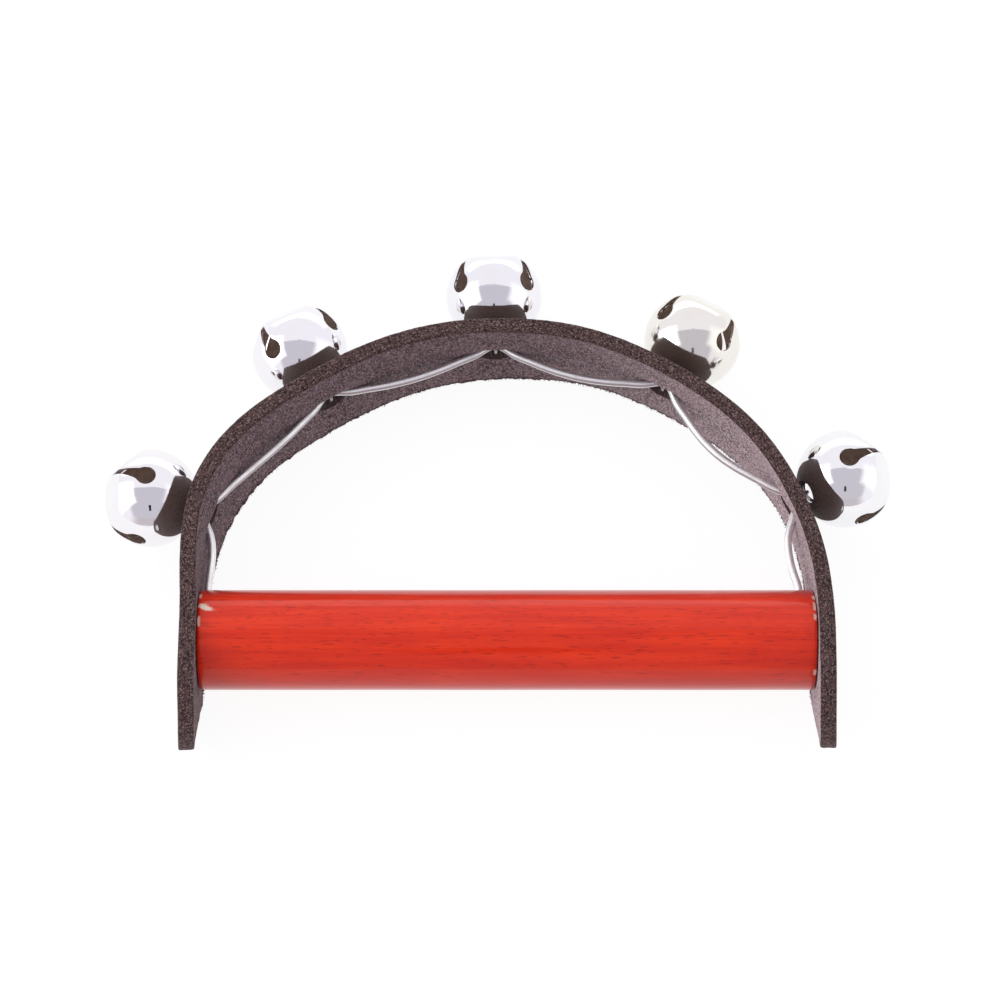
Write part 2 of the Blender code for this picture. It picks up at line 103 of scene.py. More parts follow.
DIMPLE_SPREAD = 4.2 * MM
BELL_HOLE_RADIUS = 3.5 * MM
HOLE_FLARE = 0.3 * MM
LIP_HEIGHT = 1.2 * MM
LIP_ABOVE_HOLE = 4.6 * MM
LIP_LENGTH = 3.4 * MM
LIP_WIDTH = 2.1 * MM
BURR_HEIGHT = 0.55 * MM
LEATHER_ROWS = 620
LEATHER_COLUMNS = 56
# How far the cut edge is drawn in at each level through the leather, inner face first.
EDGE_LEVELS = (
    (-1.0, 0.34), (-0.97, 0.15), (-0.88, 0.04), (-0.66, 0.0), (-0.4, 0.0), (-0.1, 0.0),
    (0.2, 0.0), (0.5, 0.0), (0.78, 0.02), (0.92, 0.10), (1.0, 0.30),
)

# Wire.
WIRE_RADIUS = 0.85 * MM
WIRE_RISE = 0.9 * MM
WIRE_SAGS = (3.6 * MM, 4.2 * MM, 5.5 * MM, 6.8 * MM)
WIRE_SAG_POWER = 0.9
WIRE_SAG_STEPS = 10
WIRE_IN_HANDLE = 6.5 * MM
LEFT_WIRE_INSET = 1.45 * MM
RIGHT_WIRE_INSET = 2.6 * MM
LEFT_WIRE_RUN = ((-0.3, 11.5), (0.1, 17.0), (0.2, 21.6), (-0.5, 25.2))
RIGHT_WIRE_RUN = ((-1.9, 24.8), (-2.0, 21.0), (-1.2, 16.2), (0.0, 11.5))

# Bells.
BELL_SPACING = 39.9 * MM
BELL_MIDDLE_STATION = 134.8 * MM
BELL_RADIUS = 11.0 * MM
BELL_SHEET = 0.6 * MM
BELL_REACH = 13.0 * MM
BELL_DROOP = math.radians(6.5)
SLOT_TURNS = tuple(math.radians(turn) for turn in (6.0, -37.0, -45.0, -45.0, -4.0))
SLOT_HOLE_RADIUS = 2.2 * MM
SLOT_HOLE_HEIGHT = -0.8 * MM
SLOT_FOOT_HALF = 1.45 * MM
SLOT_TIP_HALF = 0.12 * MM
SLOT_TAPER = 1.5
BASE_HOLE_RADIUS = 2.0 * MM
EYE_WIRE_RADIUS = 0.4 * MM
EYE_INNER_RADIUS = 1.15 * MM
PELLET_RADIUS = 3.5 * MM
PELLET_DROP = 6.2 * MM

# Screws and cup washers.
SCREW_LENGTH = 22.0 * MM
SCREW_SHANK_RADIUS = 1.5 * MM
SCREW_HEAD_RADIUS = 3.1 * MM
SCREW_HEAD_DEPTH = 1.9 * MM
SCREW_PROUD = 0.6 * MM
PILOT_DEPTH = 23.0 * MM
WASHER_RADIUS = 5.0 * MM
WASHER_SHEET = 0.35 * MM
CUP_WALL = 0.4 * MM

handle_left = LEFT_LEG_X * MM + STRAP_THICKNESS / 2 + GAP
handle_right = RIGHT_LEG_X * MM - STRAP_THICKNESS / 2 - GAP
# The frame's place for the handle's axis, straight below the middle of the arch's own X.
centre = Vector((
    (handle_low.x + handle_high.x - handle_left - handle_right) / 2,
    (handle_low.y + handle_high.y) / 2,
    (handle_low.z + handle_high.z) / 2))


# --- Helpers ---

def link(name, data, material=None):
    item = bpy.data.objects.new(name, data)
    bpy.context.scene.collection.objects.link(item)
    if material and not data.materials:
        data.materials.append(material)
    return item


def add_piece(name, mesh, node=None, material=None, body="frame"):
    """A visible piece that rides on a body and may stand for one of the frame's nodes."""
    piece = link(name, mesh, material)
    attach(piece, body)
    if node:
        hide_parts(node)


def mesh_from_arrays(name, corners, faces):
    mesh = bpy.data.meshes.new(name)
    mesh.from_pydata([tuple(corner) for corner in corners], [], faces)
    mesh.update()
    return mesh


def mesh_of(name, shape):
    """A new mesh with what the bmesh holds; the bmesh is freed."""
    mesh = bpy.data.meshes.new(name)
    shape.to_mesh(mesh)
    shape.free()
    return mesh


def frame_of(x, y, z, origin):
    """The matrix that places a shape on these axes and this origin."""
    turn = Matrix((x, y, z)).transposed().to_4x4()
    turn.translation = origin
    return turn


def baked(*items):
    """The first item's mesh with its modifiers applied; all the items are removed."""
    bpy.context.view_layer.update()
    depsgraph = bpy.context.evaluated_depsgraph_get()
    mesh = bpy.data.meshes.new_from_object(
        items[0].evaluated_get(depsgraph), preserve_all_data_layers=True, depsgraph=depsgraph)
    for item in items:
        bpy.data.objects.remove(item, do_unlink=True)
    return mesh


def join_up(shape):
    """Merges corners that coincide and turns every face outward."""
    bmesh.ops.remove_doubles(shape, verts=shape.verts, dist=MERGE)
    bmesh.ops.recalc_face_normals(shape, faces=shape.faces)


def weld(mesh):
    shape = bmesh.new()
    shape.from_mesh(mesh)
    join_up(shape)
    shape.to_mesh(mesh)
    shape.free()


def shade_round(mesh, sharp_angle=40.0):
    mesh.shade_smooth()
    mesh.set_sharp_from_angle(angle=math.radians(sharp_angle))


def place(mesh, matrix):
    mesh.transform(matrix)
    return mesh


def cut_mesh(mesh, cutters, name, sharp_angle):
    """The mesh with the closed cutter meshes taken away, with no material yet."""
    target = link(name, mesh)
    used = [target]
    for number, cutter in enumerate(cutters):
        tool = link("%s_%d" % (name, number), cutter)
        used.append(tool)
        modifier = target.modifiers.new("cut", "BOOLEAN")
        modifier.operation = "DIFFERENCE"
        modifier.solver = "EXACT"
        modifier.object = tool
    result = baked(*used)
    result.materials.clear()
    shade_round(result, sharp_angle)
    return result


def turned_mesh(name, profile, steps=64):
    """A closed solid turned about Z from (radius, height) points, down the outer side."""
    shape = bmesh.new()
    corners = [shape.verts.new((radius, 0.0, height)) for radius, height in profile]
    edges = [shape.edges.new(pair) for pair in zip(corners, corners[1:])]
    bmesh.ops.spin(
        shape, geom=corners + edges, axis=(0, 0, 1), cent=(0, 0, 0), steps=steps,
        angle=2 * math.pi, use_merge=True)
    join_up(shape)
    mesh = mesh_of(name, shape)
    shade_round(mesh)
    return mesh


def tube_mesh(name, points, radius, sides=16):
    """A round tube with closed ends through the points."""
    curve = bpy.data.curves.new(name, "CURVE")
    curve.dimensions = "3D"
    spline = curve.splines.new("POLY")
    spline.points.add(len(points) - 1)
    for knot, spot in zip(spline.points, points):
        knot.co = (*spot, 1.0)
    curve.bevel_depth = radius
    curve.bevel_resolution = sides // 2 - 2
    curve.use_fill_caps = True
    mesh = baked(link(name, curve))
    weld(mesh)
    shade_round(mesh, 50.0)
    return mesh


def ease(value):
    value = np.clip(value, 0.0, 1.0)
    return value * value * (3 - 2 * value)


def rounded(values, low, high):
    return ease((values - low) / (high - low))


class SmoothPath:
    """A natural cubic spline through given points, read by distance along it."""

    SAMPLES_PER_SPAN = 60

    def __init__(self, points):
        points = np.array(points, float)
        spans = np.linalg.norm(np.diff(points, axis=0), axis=1)
        count = len(points)
        system = np.eye(count)
        target = np.zeros_like(points)
        for i in range(1, count - 1):
            system[i, i - 1:i + 2] = (spans[i - 1], 2 * (spans[i - 1] + spans[i]), spans[i])
            after = (points[i + 1] - points[i]) / spans[i]
            before = (points[i] - points[i - 1]) / spans[i - 1]
            target[i] = 6 * (after - before)
        bend = np.linalg.solve(system, target)
        pieces = []
        for i, span in enumerate(spans):
            u = np.linspace(0.0, 1.0, self.SAMPLES_PER_SPAN, endpoint=False)[:, None]
            v = 1 - u
            straight = v * points[i] + u * points[i + 1]
            curved = (v ** 3 - v) * bend[i] + (u ** 3 - u) * bend[i + 1]
            pieces.append(straight + curved * span ** 2 / 6)
        self.table = np.vstack(pieces + [points[-1:]])
        steps = np.linalg.norm(np.diff(self.table, axis=0), axis=1)
        self.distance = np.concatenate(([0.0], np.cumsum(steps)))
        self.length = self.distance[-1]

    def point(self, distance):
        axes = [np.interp(distance, self.distance, axis) for axis in self.table.T]
        return np.stack(axes, axis=-1)

    def outward(self, distance):
        reach = 0.5 * MM
        low = np.clip(distance, reach, self.length - reach)
        step = self.point(low + reach) - self.point(low - reach)
        step /= np.linalg.norm(step, axis=-1)[..., None]
        return np.stack((-step[..., 1], step[..., 0]), axis=-1)


strap_line = SmoothPath(np.array(STRAP_LINE) * MM)
bell_stations = [BELL_MIDDLE_STATION + step * BELL_SPACING for step in (-2, -1, 0, 1, 2)]


def swelling(distance, across, height, above, length, width):
    """Soft rises at the bell holes, or a little above them, towards the upper edge."""
    rise = 0.0
    for station in bell_stations:
        away = ((distance - station) / length) ** 2 + ((across + above) / width) ** 2
        rise = rise + height * np.exp(-away / 2)
    return rise


def dimple(distance, across):
    """How far the leather is drawn out around the bell holes."""
    return swelling(distance, across, DIMPLE_HEIGHT, 0.0, DIMPLE_SPREAD, DIMPLE_SPREAD)


def on_strap(distance, across, height):
    """Places on the bent strap: along it, across it, and above its mid-thickness."""
    lift = (height + dimple(distance, across))[..., None]
    flat = strap_line.point(distance) + strap_line.outward(distance) * lift
    lean = EDGE_LEAN * across * np.abs(across) / STRAP_HALF ** 2
    x = flat[..., 0] + lean * ease(flat[..., 1] / LEAN_FULL_HEIGHT)
    splay = LEG_SPLAY * (across / STRAP_HALF + 1) / 2
    x += np.sign(x) * splay * ease((-SPLAY_START - flat[..., 1]) / SPLAY_LENGTH)
    return np.stack((x + centre.x, flat[..., 1] + centre.y, centre.z - across), axis=-1)


def wire_route(samples):
    """Up from the handle, through the five eyes, and down into the handle again."""
    left_x = handle_left + LEFT_WIRE_INSET
    right_x = handle_right - RIGHT_WIRE_INSET
    top = 11.0 * MM
    floor = top - WIRE_IN_HANDLE
    knots = [(left_x, floor), (left_x, (floor + top) / 2)]
    knots += [(left_x + x * MM, y * MM) for x, y in LEFT_WIRE_RUN]
    for station, sag in zip(bell_stations, WIRE_SAGS):
        for step in range(WIRE_SAG_STEPS):
            share = step / WIRE_SAG_STEPS
            swell = math.sin(math.pi * share) ** WIRE_SAG_POWER
            depth = (sag + WIRE_RISE) * swell - WIRE_RISE
            distance = station + share * BELL_SPACING
            knots.append(strap_line.point(distance) - strap_line.outward(distance) * depth)
    last = bell_stations[-1]
    knots.append(strap_line.point(last) + strap_line.outward(last) * WIRE_RISE)
    knots += [(right_x + x * MM, y * MM) for x, y in RIGHT_WIRE_RUN]
    knots += [(right_x, (floor + top) / 2), (right_x, floor)]
    route = SmoothPath(knots)
    return route.point(np.linspace(0.0, route.length, samples))


def placed_route(samples):
    """The wire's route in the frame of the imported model."""
    return [(x + centre.x, y + centre.y, centre.z) for x, y in wire_route(samples)]


# --- Material nodes ---

class Recipe:
    """A Principled material whose node tree is built by short calls."""

    def __init__(self, name, colour, roughness, metallic=0.0):
        self.material = bpy.data.materials.new(name)
        self.material.use_nodes = True
        self.material.diffuse_color = (*colour, 1.0)
        self.tree = self.material.node_tree
        self.shader = self.tree.nodes["Principled BSDF"]
        self.put(Base_Color=(*colour, 1.0), Roughness=roughness, Metallic=metallic)

    def give(self, target, value):
        """Link a socket, or set a constant."""
        if hasattr(value, "links"):
            self.tree.links.new(value, target)
        else:
            target.default_value = value

    def put(self, **sockets):
        """Give the shader's sockets their values; _ stands for a space in their names."""
        for name, value in sockets.items():
            self.give(self.shader.inputs[name.replace("_", " ")], value)
        return self.material

    def node(self, kind, inputs=None, **settings):
        made = self.tree.nodes.new(kind)
        for key, value in settings.items():
            setattr(made, key, value)
        for key, value in (inputs or {}).items():
            self.give(made.inputs[key], value)
        return made

    def coordinates(self):
        return self.node("ShaderNodeTexCoord").outputs["Object"]

    def attribute(self, name, output="Fac"):
        return self.node("ShaderNodeAttribute", attribute_name=name).outputs[output]

    def stretched(self, vector, scale, offset=(0.0, 0.0, 0.0), turn=(0.0, 0.0, 0.0)):
        inputs = {"Vector": vector, "Scale": scale, "Location": offset, "Rotation": turn}
        return self.node("ShaderNodeMapping", inputs).outputs["Vector"]

    def noise(self, vector, scale, detail=2.0, rough=0.5, distortion=0.0):
        inputs = {
            "Vector": vector, "Scale": scale, "Detail": detail, "Roughness": rough,
            "Distortion": distortion}
        return self.node("ShaderNodeTexNoise", inputs).outputs["Fac"]

    def cells(self, vector, scale, output="Distance"):
        inputs = {"Vector": vector, "Scale": scale}
        return self.node("ShaderNodeTexVoronoi", inputs).outputs[output]

    def math(self, operation, first, second):
        return self.node("ShaderNodeMath", {0: first, 1: second}, operation=operation).outputs[0]

    def span(self, value, low, high, to_low=0.0, to_high=1.0, kind="SMOOTHSTEP"):
        inputs = {
            "Value": value, "From Min": low, "From Max": high, "To Min": to_low,
            "To Max": to_high}
        made = self.node("ShaderNodeMapRange", inputs, interpolation_type=kind)
        return made.outputs["Result"]

    def mix(self, share, *colours):
        first, second = [(*c, 1.0) if isinstance(c, tuple) else c for c in colours]
        inputs = {0: share, 6: first, 7: second}
        return self.node("ShaderNodeMix", inputs, data_type="RGBA").outputs[2]

    def shade(self, pattern, low, high, first, second, most=1.0):
        """From the first colour to the second as the pattern goes from low to high."""
        return self.mix(self.span(pattern, low, high, 0.0, most), first, second)

    def bump(self, height, distance, strength, below=None):
        inputs = {"Strength": strength, "Distance": distance, "Height": height}
        if below is not None:
            inputs["Normal"] = below
        return self.node("ShaderNodeBump", inputs).outputs["Normal"]


def leather_material():
    """Suede inside, smooth grain outside, and a speckled fibrous cut edge.

    The attribute hide holds millimetres along, across and through the leather, and cut is
    1 on the cut edges.
    """
    skin = Recipe("suede_leather", (0.100, 0.070, 0.074), 0.92)
    hide = skin.attribute("hide", "Vector")
    cut = skin.attribute("cut")
    along, _, through = skin.node("ShaderNodeSeparateXYZ", {0: hide}).outputs
    outside = skin.span(through, 1.2, 1.7)

    def drawn_out(scale, *settings):
        return skin.noise(skin.stretched(hide, scale[:3]), scale[3], *settings)

    nap = drawn_out((1.0, 0.55, 1.0, 1.5), 3.0, 0.62)
    blotch = skin.noise(hide, 0.16, 3.0, 0.6)
    fine = drawn_out((1.0, 0.6, 1.0, 2.7), 2.0, 0.6)
    suede = skin.shade(nap, 0.38, 0.62, (0.052, 0.034, 0.036), (0.185, 0.136, 0.145))
    suede = skin.shade(blotch, 0.35, 0.7, suede, (0.150, 0.112, 0.126), 0.5)
    suede = skin.shade(fine, 0.53, 0.65, suede, (0.33, 0.27, 0.285), 0.75)
    suede = skin.shade(fine, 0.47, 0.36, suede, (0.034, 0.022, 0.024), 0.6)
    # The suede is lighter from 135 to 225 mm along the strap, on its right side.
    lighter_suede = skin.shade(fine, 0.38, 0.62, (0.19, 0.14, 0.155), (0.68, 0.58, 0.61))
    suede = skin.shade(along, 135.0, 225.0, suede, lighter_suede, 0.85)

    pores = skin.span(skin.cells(hide, 1.5), 0.05, 0.6)
    grain = skin.mix(pores, (0.030, 0.017, 0.014), (0.056, 0.034, 0.028))
    face = skin.mix(outside, suede, grain)

    strands = drawn_out((0.8, 1.0, 1.0, 2.1), 3.0, 0.68, 0.3)
    specks = drawn_out((0.8, 1.0, 1.0, 3.1), 2.0, 0.6)
    blush = skin.noise(hide, 0.9, 2.0, 0.6)
    layers = drawn_out((0.06, 0.5, 1.1, 1.4), 2.0, 0.5)
    edge = skin.shade(strands, 0.38, 0.60, (0.020, 0.011, 0.012), (0.100, 0.060, 0.058))
    edge = skin.shade(specks, 0.55, 0.66, edge, (0.30, 0.21, 0.185), 0.85)
    edge = skin.shade(blush, 0.60, 0.74, edge, (0.30, 0.16, 0.15), 0.4)
    edge = skin.shade(layers, 0.5, 0.75, edge, (0.036, 0.024, 0.024), 0.5)

    soft = skin.bump(fine, 0.00010, 0.8, skin.bump(nap, 0.00022, 0.9))
    return skin.put(
        Base_Color=skin.mix(cut, face, edge),
        Roughness=skin.span(outside, 0.0, 1.0, 0.94, 0.6, "LINEAR"),
        Normal=skin.bump(skin.mix(cut, nap, strands), 0.00020, 0.8, soft),
        Specular_IOR_Level=0.1, Sheen_Weight=0.12, Sheen_Roughness=0.55,
        Sheen_Tint=(0.55, 0.48, 0.52, 1.0))


def fuzz_material():
    """Loose fibres on the cut edges and round the holes."""
    fuzz = Recipe("leather_fuzz", (0.080, 0.056, 0.056), 0.95)
    shade = fuzz.span(fuzz.noise(fuzz.coordinates(), 900.0, 2.0, 0.6), 0.35, 0.7)
    return fuzz.put(
        Base_Color=fuzz.mix(shade, (0.045, 0.030, 0.030), (0.150, 0.112, 0.108)),
        Specular_IOR_Level=0.15)


def lacquer_material():
    """Glossy red lacquer over beech: short dark ray flecks, faint streaks, pale chips, painted
    shade on the side away from the lit side and a painted dark reflection along the edge towards
    it.
    """
    wood = Recipe("red_lacquer", (0.74, 0.040, 0.014), 0.35)
    grown = wood.stretched(wood.coordinates(), (1000.0, 1000.0, 1000.0), turn=(0.5, 0.0, 0.0))
    streak = wood.noise(wood.stretched(grown, (0.03, 0.9, 0.35)), 1.0, 4.0, 0.6)
    cloud = wood.noise(grown, 0.09)
    colour = wood.shade(streak, 0.3, 0.7, (0.64, 0.021, 0.004), (0.82, 0.039, 0.005))
    colour = wood.shade(cloud, 0.35, 0.65, colour, (0.66, 0.022, 0.008), 0.35)
    layers = []
    for offset, size in ((0.0, (0.20, 2.6, 1.9)), (7.3, (0.34, 3.4, 2.6))):
        cell = wood.stretched(grown, size, (offset, offset, 0.0))
        near = wood.span(wood.cells(cell, 1.0), 0.34, 0.18)
        lot = wood.span(wood.cells(cell, 1.0, "Color"), 0.52, 0.72)
        layers.append(wood.math("MULTIPLY", near, lot))
    flecks = wood.math("MAXIMUM", *layers)
    colour = wood.mix(wood.math("MULTIPLY", flecks, 0.62), colour, (0.30, 0.010, 0.006))
    # Painted shade: the lacquer is painted deeper red on the side away from the lit side, and a
    # painted dark reflection runs along the edge that faces it.
    side = wood.attribute("painted_lacquer_shade")
    colour = wood.shade(side, -0.1, -0.95, colour, (0.36, 0.012, 0.008), 0.55)
    colour = wood.shade(side, 0.90, 1.0, colour, (0.40, 0.010, 0.006), 0.5)
    return wood.put(
        Base_Color=wood.mix(wood.attribute("bare"), colour, (0.88, 0.68, 0.56)),
        Normal=wood.bump(flecks, -0.00002, 0.6),
        Coat_Normal=wood.bump(wood.noise(grown, 0.55), 0.00004, 0.6),
        Specular_IOR_Level=0.1, Coat_Weight=0.75, Coat_Roughness=0.12, Coat_IOR=1.4)


def nickel_material(name, tint, wear):
    """Bright nickel plate with faint polishing marks; wear adds small dark pits."""
    plate = Recipe(name, tint, 0.06, 1.0)
    spot = plate.coordinates()
    smear = plate.noise(spot, 260.0, 3.0, 0.6)
    pits = plate.noise(spot, 1500.0, 2.0, 0.7)
    pit = plate.span(pits, 0.80 - 0.08 * wear, 0.86 - 0.08 * wear)
    dull = tuple(0.35 * part for part in tint)
    warm = tuple(part * share for part, share in zip(tint, (0.97, 0.93, 0.86)))
    colour = plate.mix(plate.span(smear, 0.45, 0.8, 0.0, 0.25 + 0.5 * wear), tint, warm)
    return plate.put(
        Base_Color=plate.mix(pit, colour, dull),
        Roughness=plate.span(smear, 0.3, 0.75, 0.035, 0.11 + 0.08 * wear),
        Normal=plate.bump(smear, 0.00003, 0.5))


def inside_material():
    """The unpolished inside of a pressed shell."""
    raw = Recipe("shell_inside", (0.48, 0.37, 0.31), 0.55)
    stain = raw.noise(raw.coordinates(), 420.0, 4.0, 0.6)
    return raw.put(
        Base_Color=raw.shade(stain, 0.3, 0.7, (0.50, 0.38, 0.32), (0.74, 0.60, 0.52)),
        Roughness=raw.span(stain, 0.3, 0.7, 0.5, 0.7))


def drawn_wire_material(name, colour, scale):
    """Drawn steel wire: fine lines along it and a satin finish, darkened by painted shade on the
    side that the mesh marks.
    """
    wire = Recipe(name, colour, 0.42, 1.0)
    spot = wire.coordinates()
    grime = wire.noise(spot, 330.0 * scale, 3.0, 0.6)
    darker = tuple(0.72 * part for part in colour)
    bright = wire.shade(grime, 0.4, 0.75, colour, darker, 0.5)
    return wire.put(
        # Painted shade: the colour goes to a dull grey on the wire's side away from the light,
        # as the mesh marks it.
        Base_Color=wire.mix(wire.attribute("painted_wire_shade"), bright, (0.40, 0.40, 0.42)),
        Roughness=wire.span(grime, 0.3, 0.7, 0.36, 0.50),
        Normal=wire.bump(wire.noise(spot, 2400.0), 0.00002, 0.5))


def plated_material():
    """Zinc-plated fasteners: a slightly mottled, semi-bright steel."""
    zinc = Recipe("plated_steel", (0.66, 0.65, 0.64), 0.28, 1.0)
    spangle = zinc.noise(zinc.coordinates(), 700.0, 3.0, 0.6)
    return zinc.put(
        Base_Color=zinc.shade(spangle, 0.3, 0.7, (0.50, 0.49, 0.47), (0.74, 0.73, 0.73)),
        Roughness=zinc.span(spangle, 0.3, 0.7, 0.2, 0.4),
        Normal=zinc.bump(spangle, 0.00003, 0.5))


def ball_material():
    """A plain steel ball, dulled by rattling against its shell."""
    steel = Recipe("ball_steel", (0.52, 0.50, 0.48), 0.4, 1.0)
    knocks = steel.cells(steel.coordinates(), 900.0)
    return steel.put(
        Base_Color=steel.shade(knocks, 0.1, 0.7, (0.36, 0.34, 0.32), (0.58, 0.56, 0.55)),
        Roughness=steel.span(knocks, 0.1, 0.7, 0.55, 0.3),
        Normal=steel.bump(knocks, 0.00004, 0.6))


# --- The leather strap ---

def wobble(values, scale, seed):
    """Smooth noise between about -1 and 1 for an array of positions in millimetres."""
    flat = values.reshape(-1, values.shape[-1]) * scale
    made = [noise.noise(Vector((*spot, 0.0, 0.0)[:3]) + Vector((seed, 1.7 * seed, 0.3)))
            for spot in flat]
    return np.array(made).reshape(values.shape[:-1])


def groove_floor(distance, across):
    """How high the inner face is pressed by the wire that beds into it."""
    route = wire_route(1600)
    nearest = strap_line.table[:, None, :] - route[None, :, :]
    index = np.argmin(np.einsum("ijk,ijk->ij", nearest, nearest), axis=0)
    stations = strap_line.distance[index]
    out = strap_line.outward(stations)
    height = np.einsum("ij,ij->i", route - strap_line.point(stations), out)
    order = np.argsort(stations)
    wire_height = np.interp(distance, stations[order], height[order])
    room = WIRE_RADIUS + 0.25 * MM
    return wire_height - dimple(distance, 0.0) + room - 0.85 * across ** 2 / room


def leather_flat(share_along, share_across):
    """Where a point of the flat strap lies, for shares from -1 to 1 along and across."""
    slant = share_across * math.pi / 2
    reach = strap_line.length / 2 - STRAP_HALF * (1 - np.cos(slant))
    distance = strap_line.length / 2 + share_along * reach
    to_end = (1 - np.abs(share_along)) * strap_line.length / 2
    roundness = 1 - ease(to_end / (2.2 * STRAP_HALF))
    across = STRAP_HALF * ((1 - roundness) * share_across + roundness * np.sin(slant))
    return distance, across


def leather_mesh():
    """The band as a closed solid with fuzzy relief, ragged edges, grooves and dimples."""
    rows = np.linspace(-1.0, 1.0, LEATHER_ROWS + 1)
    columns = np.linspace(-1.0, 1.0, LEATHER_COLUMNS + 1)
    along, across = np.meshgrid(rows, columns, indexing="ij")
    flat_spots = np.stack(leather_flat(along, across), axis=-1)
    grid = np.arange(along.size).reshape(along.shape)

    # The outline of the flat strap, once round, and its outward direction.
    ring = np.concatenate((grid[:-1, 0], grid[-1, :-1], grid[:0:-1, -1], grid[0, :0:-1]))
    outline = flat_spots.reshape(-1, 2)[ring]
    step = np.roll(outline, -1, axis=0) - np.roll(outline, 1, axis=0)
    step /= np.linalg.norm(step, axis=1)[:, None]
    out = np.stack((step[:, 1], -step[:, 0]), axis=-1)

    def pulled_in(level, inset):
        """The outline at one level through the leather, ragged and drawn in."""
        spots = np.column_stack((outline / MM, np.full(len(outline), 2.2 * level)))
        notch = 0.10 * wobble(spots, 0.55, 3.0) + 0.10 * wobble(spots, 1.9, 9.0)
        teeth = np.clip(wobble(spots, 2.6, 5.0), 0.0, 1.0) * 0.30
        lower = ease((outline[:, 1] / STRAP_HALF - 0.6) / 0.3)
        ragged = lower * ease(-level * 0.7 + 0.5)
        drawn = (inset + notch + teeth * (0.25 + 0.9 * ragged)) * MM
        return outline - out * drawn[:, None]

    tree = KDTree(len(outline))
    for number, spot in enumerate(outline):
        tree.insert((*spot, 0.0), number)
    tree.balance()
    found = [tree.find((*spot, 0.0)) for spot in flat_spots.reshape(-1, 2)]
    nearest = np.array([number for _, number, _ in found]).reshape(grid.shape)
    away = np.array([gap for _, _, gap in found]).reshape(grid.shape)
    drawn_share = np.clip(1 - away / (3.0 * MM), 0.0, 1.0)[..., None]

    def face(level, inset):
        """One face of the leather: its flat places, its edge drawn in to meet the wall."""
        shift = pulled_in(level, inset) - outline
        height = np.full(grid.shape, level * STRAP_THICKNESS / 2)
        return flat_spots + shift[nearest] * drawn_share, height

    def relief(spots, coarse, fine, seed):
        flat = spots / MM
        swell = coarse * wobble(flat, 0.12, seed) + 0.5 * coarse * wobble(flat, 0.45, seed)
        return (swell + fine * wobble(flat, 1.6, seed + 4.0)) * MM

    inner, inner_height = face(-1.0, EDGE_LEVELS[0][1])
    outer, outer_height = face(1.0, EDGE_LEVELS[-1][1])
    inner_height = inner_height + relief(inner, 0.07, 0.045, 2.0)
    # The pull of each bell puckers the inner face above its hole.
    inner_height = inner_height - swelling(
        inner[..., 0], inner[..., 1], LIP_HEIGHT, LIP_ABOVE_HOLE, LIP_LENGTH, LIP_WIDTH)
    near_edge = ease((inner[..., 1] / STRAP_HALF - 0.94) / 0.05)
    burr = np.clip(0.25 + wobble(inner / MM * (1.0, 0.3), 0.95, 13.0), 0.0, 1.0)
    inner_height = inner_height - BURR_HEIGHT * near_edge * burr
    outer_height = outer_height + relief(outer, 0.05, 0.012, 6.0)
    bed = groove_floor(inner[..., 0], inner[..., 1])
    softness = 0.22 * MM
    inner_height = softness * np.logaddexp(inner_height / softness, bed / softness)

    walls = EDGE_LEVELS[1:-1]
    spots = np.vstack(
        [inner.reshape(-1, 2), outer.reshape(-1, 2)] + [pulled_in(*wall) for wall in walls])
    wall_heights = np.repeat([level for level, _ in walls], ring.size) * STRAP_THICKNESS / 2
    heights = np.concatenate((inner_height.ravel(), outer_height.ravel(), wall_heights))
    corners = on_strap(spots[:, 0], spots[:, 1], heights)

    count = grid.size
    a, b, c, d = grid[:-1, :-1], grid[:-1, 1:], grid[1:, 1:], grid[1:, :-1]
    inside = np.stack((a, b, c, d), axis=-1)
    outside = count + np.stack((a, d, c, b), axis=-1)
    middle = np.arange(len(walls) * ring.size).reshape(-1, ring.size)
    levels = np.vstack((ring, 2 * count + middle, count + ring))
    onward = np.roll(levels, -1, axis=1)
    sides = np.stack((levels[:-1], onward[:-1], onward[1:], levels[1:]), axis=-1)
    faces = np.stack((inside, outside), axis=2).reshape(-1, 4).tolist()
    faces += sides.reshape(-1, 4).tolist()
    mesh = mesh_from_arrays("strap_leather", corners, faces)

    cut = np.zeros(len(spots))
    cut[2 * count:] = 1.0
    cut[ring] = 0.75
    cut[count + ring] = 0.75
    store(mesh, "hide", np.column_stack((spots, heights)) / MM)
    store(mesh, "cut", cut)
    weld(mesh)
    return mesh


def store(mesh, name, values):
    """An attribute of the mesh's corners: a number or a vector for each."""
    values = np.asarray(values, np.float32)
    kind, field = ("FLOAT", "value") if values.ndim == 1 else ("FLOAT_VECTOR", "vector")
    mesh.attributes.new(name, kind, "POINT").data.foreach_set(field, values.ravel())


def station_frame(station):
    """A frame with X along the strap and Z out of it, on its mid-thickness line."""
    out = strap_line.outward(np.array(station))
    spot = strap_line.point(np.array(station))
    up = Vector((out[0], out[1], 0.0))
    along = Vector((out[1], -out[0], 0.0))
    return frame_of(along, up.cross(along), up, centre + Vector((spot[0], spot[1], 0.0)))


def bell_hole_cutter(station):
    """A punched hole with worn, flared mouths on both faces."""
    half = STRAP_THICKNESS / 2
    middle = DIMPLE_HEIGHT
    profile = [
        (0.0, CLEAR), (BELL_HOLE_RADIUS + 3 * HOLE_FLARE, CLEAR),
        (BELL_HOLE_RADIUS + 0.4 * HOLE_FLARE, middle + half - 0.2 * MM),
        (BELL_HOLE_RADIUS, middle + half - 1.0 * MM),
        (BELL_HOLE_RADIUS, middle - half + 0.6 * MM),
        (BELL_HOLE_RADIUS + 0.4 * HOLE_FLARE, middle - half - 0.1 * MM),
        (BELL_HOLE_RADIUS + 3 * HOLE_FLARE, -CLEAR), (0.0, -CLEAR)]
    return place(turned_mesh("bell_hole", profile, 48), station_frame(station))


